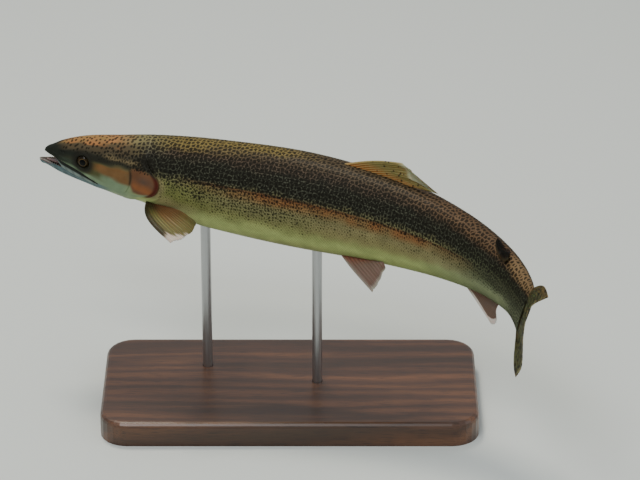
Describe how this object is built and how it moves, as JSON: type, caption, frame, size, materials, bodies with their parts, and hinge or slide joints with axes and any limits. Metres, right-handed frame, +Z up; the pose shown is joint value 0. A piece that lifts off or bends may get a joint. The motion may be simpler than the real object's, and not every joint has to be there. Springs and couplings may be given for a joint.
{
  "type": "rainbow trout model on a display stand",
  "caption": "Life-size still model of a rainbow trout with its mouth ajar and its tail bent to its left, held over a flat wooden base by steel rods.",
  "frame": {"origin": "centre of the stand base's underside", "axes": "+Z up, +X along the base from the fish's head end towards its tail, -Y towards the fish's left side"},
  "size_m": [0.3877, 0.2833, 0.2271],
  "materials": {
    "back_skin": "painted scales under a wet-look varnish, olive brown with black spots",
    "head_skin": "painted smooth skin under varnish, golden brown with black spots",
    "jaw_skin": "painted smooth skin under varnish, pale silver",
    "jaw_bone": "painted, olive grey",
    "gill_cover": "painted, orange red with a pearl sheen",
    "mouth": "painted, wet pink",
    "eye": "polished black and bronze under a clear dome",
    "fin": "thin cast fin with rays, olive brown and translucent",
    "belly_fin": "thin cast fin with rays, pinkish brown with a pale edge",
    "base_wood": "dark walnut, satin varnish",
    "rod_steel": "brushed"
  },
  "bodies": {
    "root": {"head": "head_skin", "lower_jaw": "jaw_skin", "tongue": "mouth", "maxilla_left": "jaw_bone", "maxilla_right": "jaw_bone", "gill_cover_left": "gill_cover", "gill_cover_right": "gill_cover", "eye_left": "eye", "eye_right": "eye", "trunk_front": "back_skin", "trunk_rear": "back_skin", "tail": "back_skin", "dorsal_fin": "fin", "adipose_fin": "fin", "anal_fin": "belly_fin", "caudal_fin": "fin", "pectoral_fin_left": "fin", "pectoral_fin_right": "fin", "pelvic_fin_left": "belly_fin", "pelvic_fin_right": "belly_fin", "stand_base": "base_wood", "stand_rod_front": "rod_steel", "stand_rod_rear": "rod_steel"}
  },
  "joints": []
}
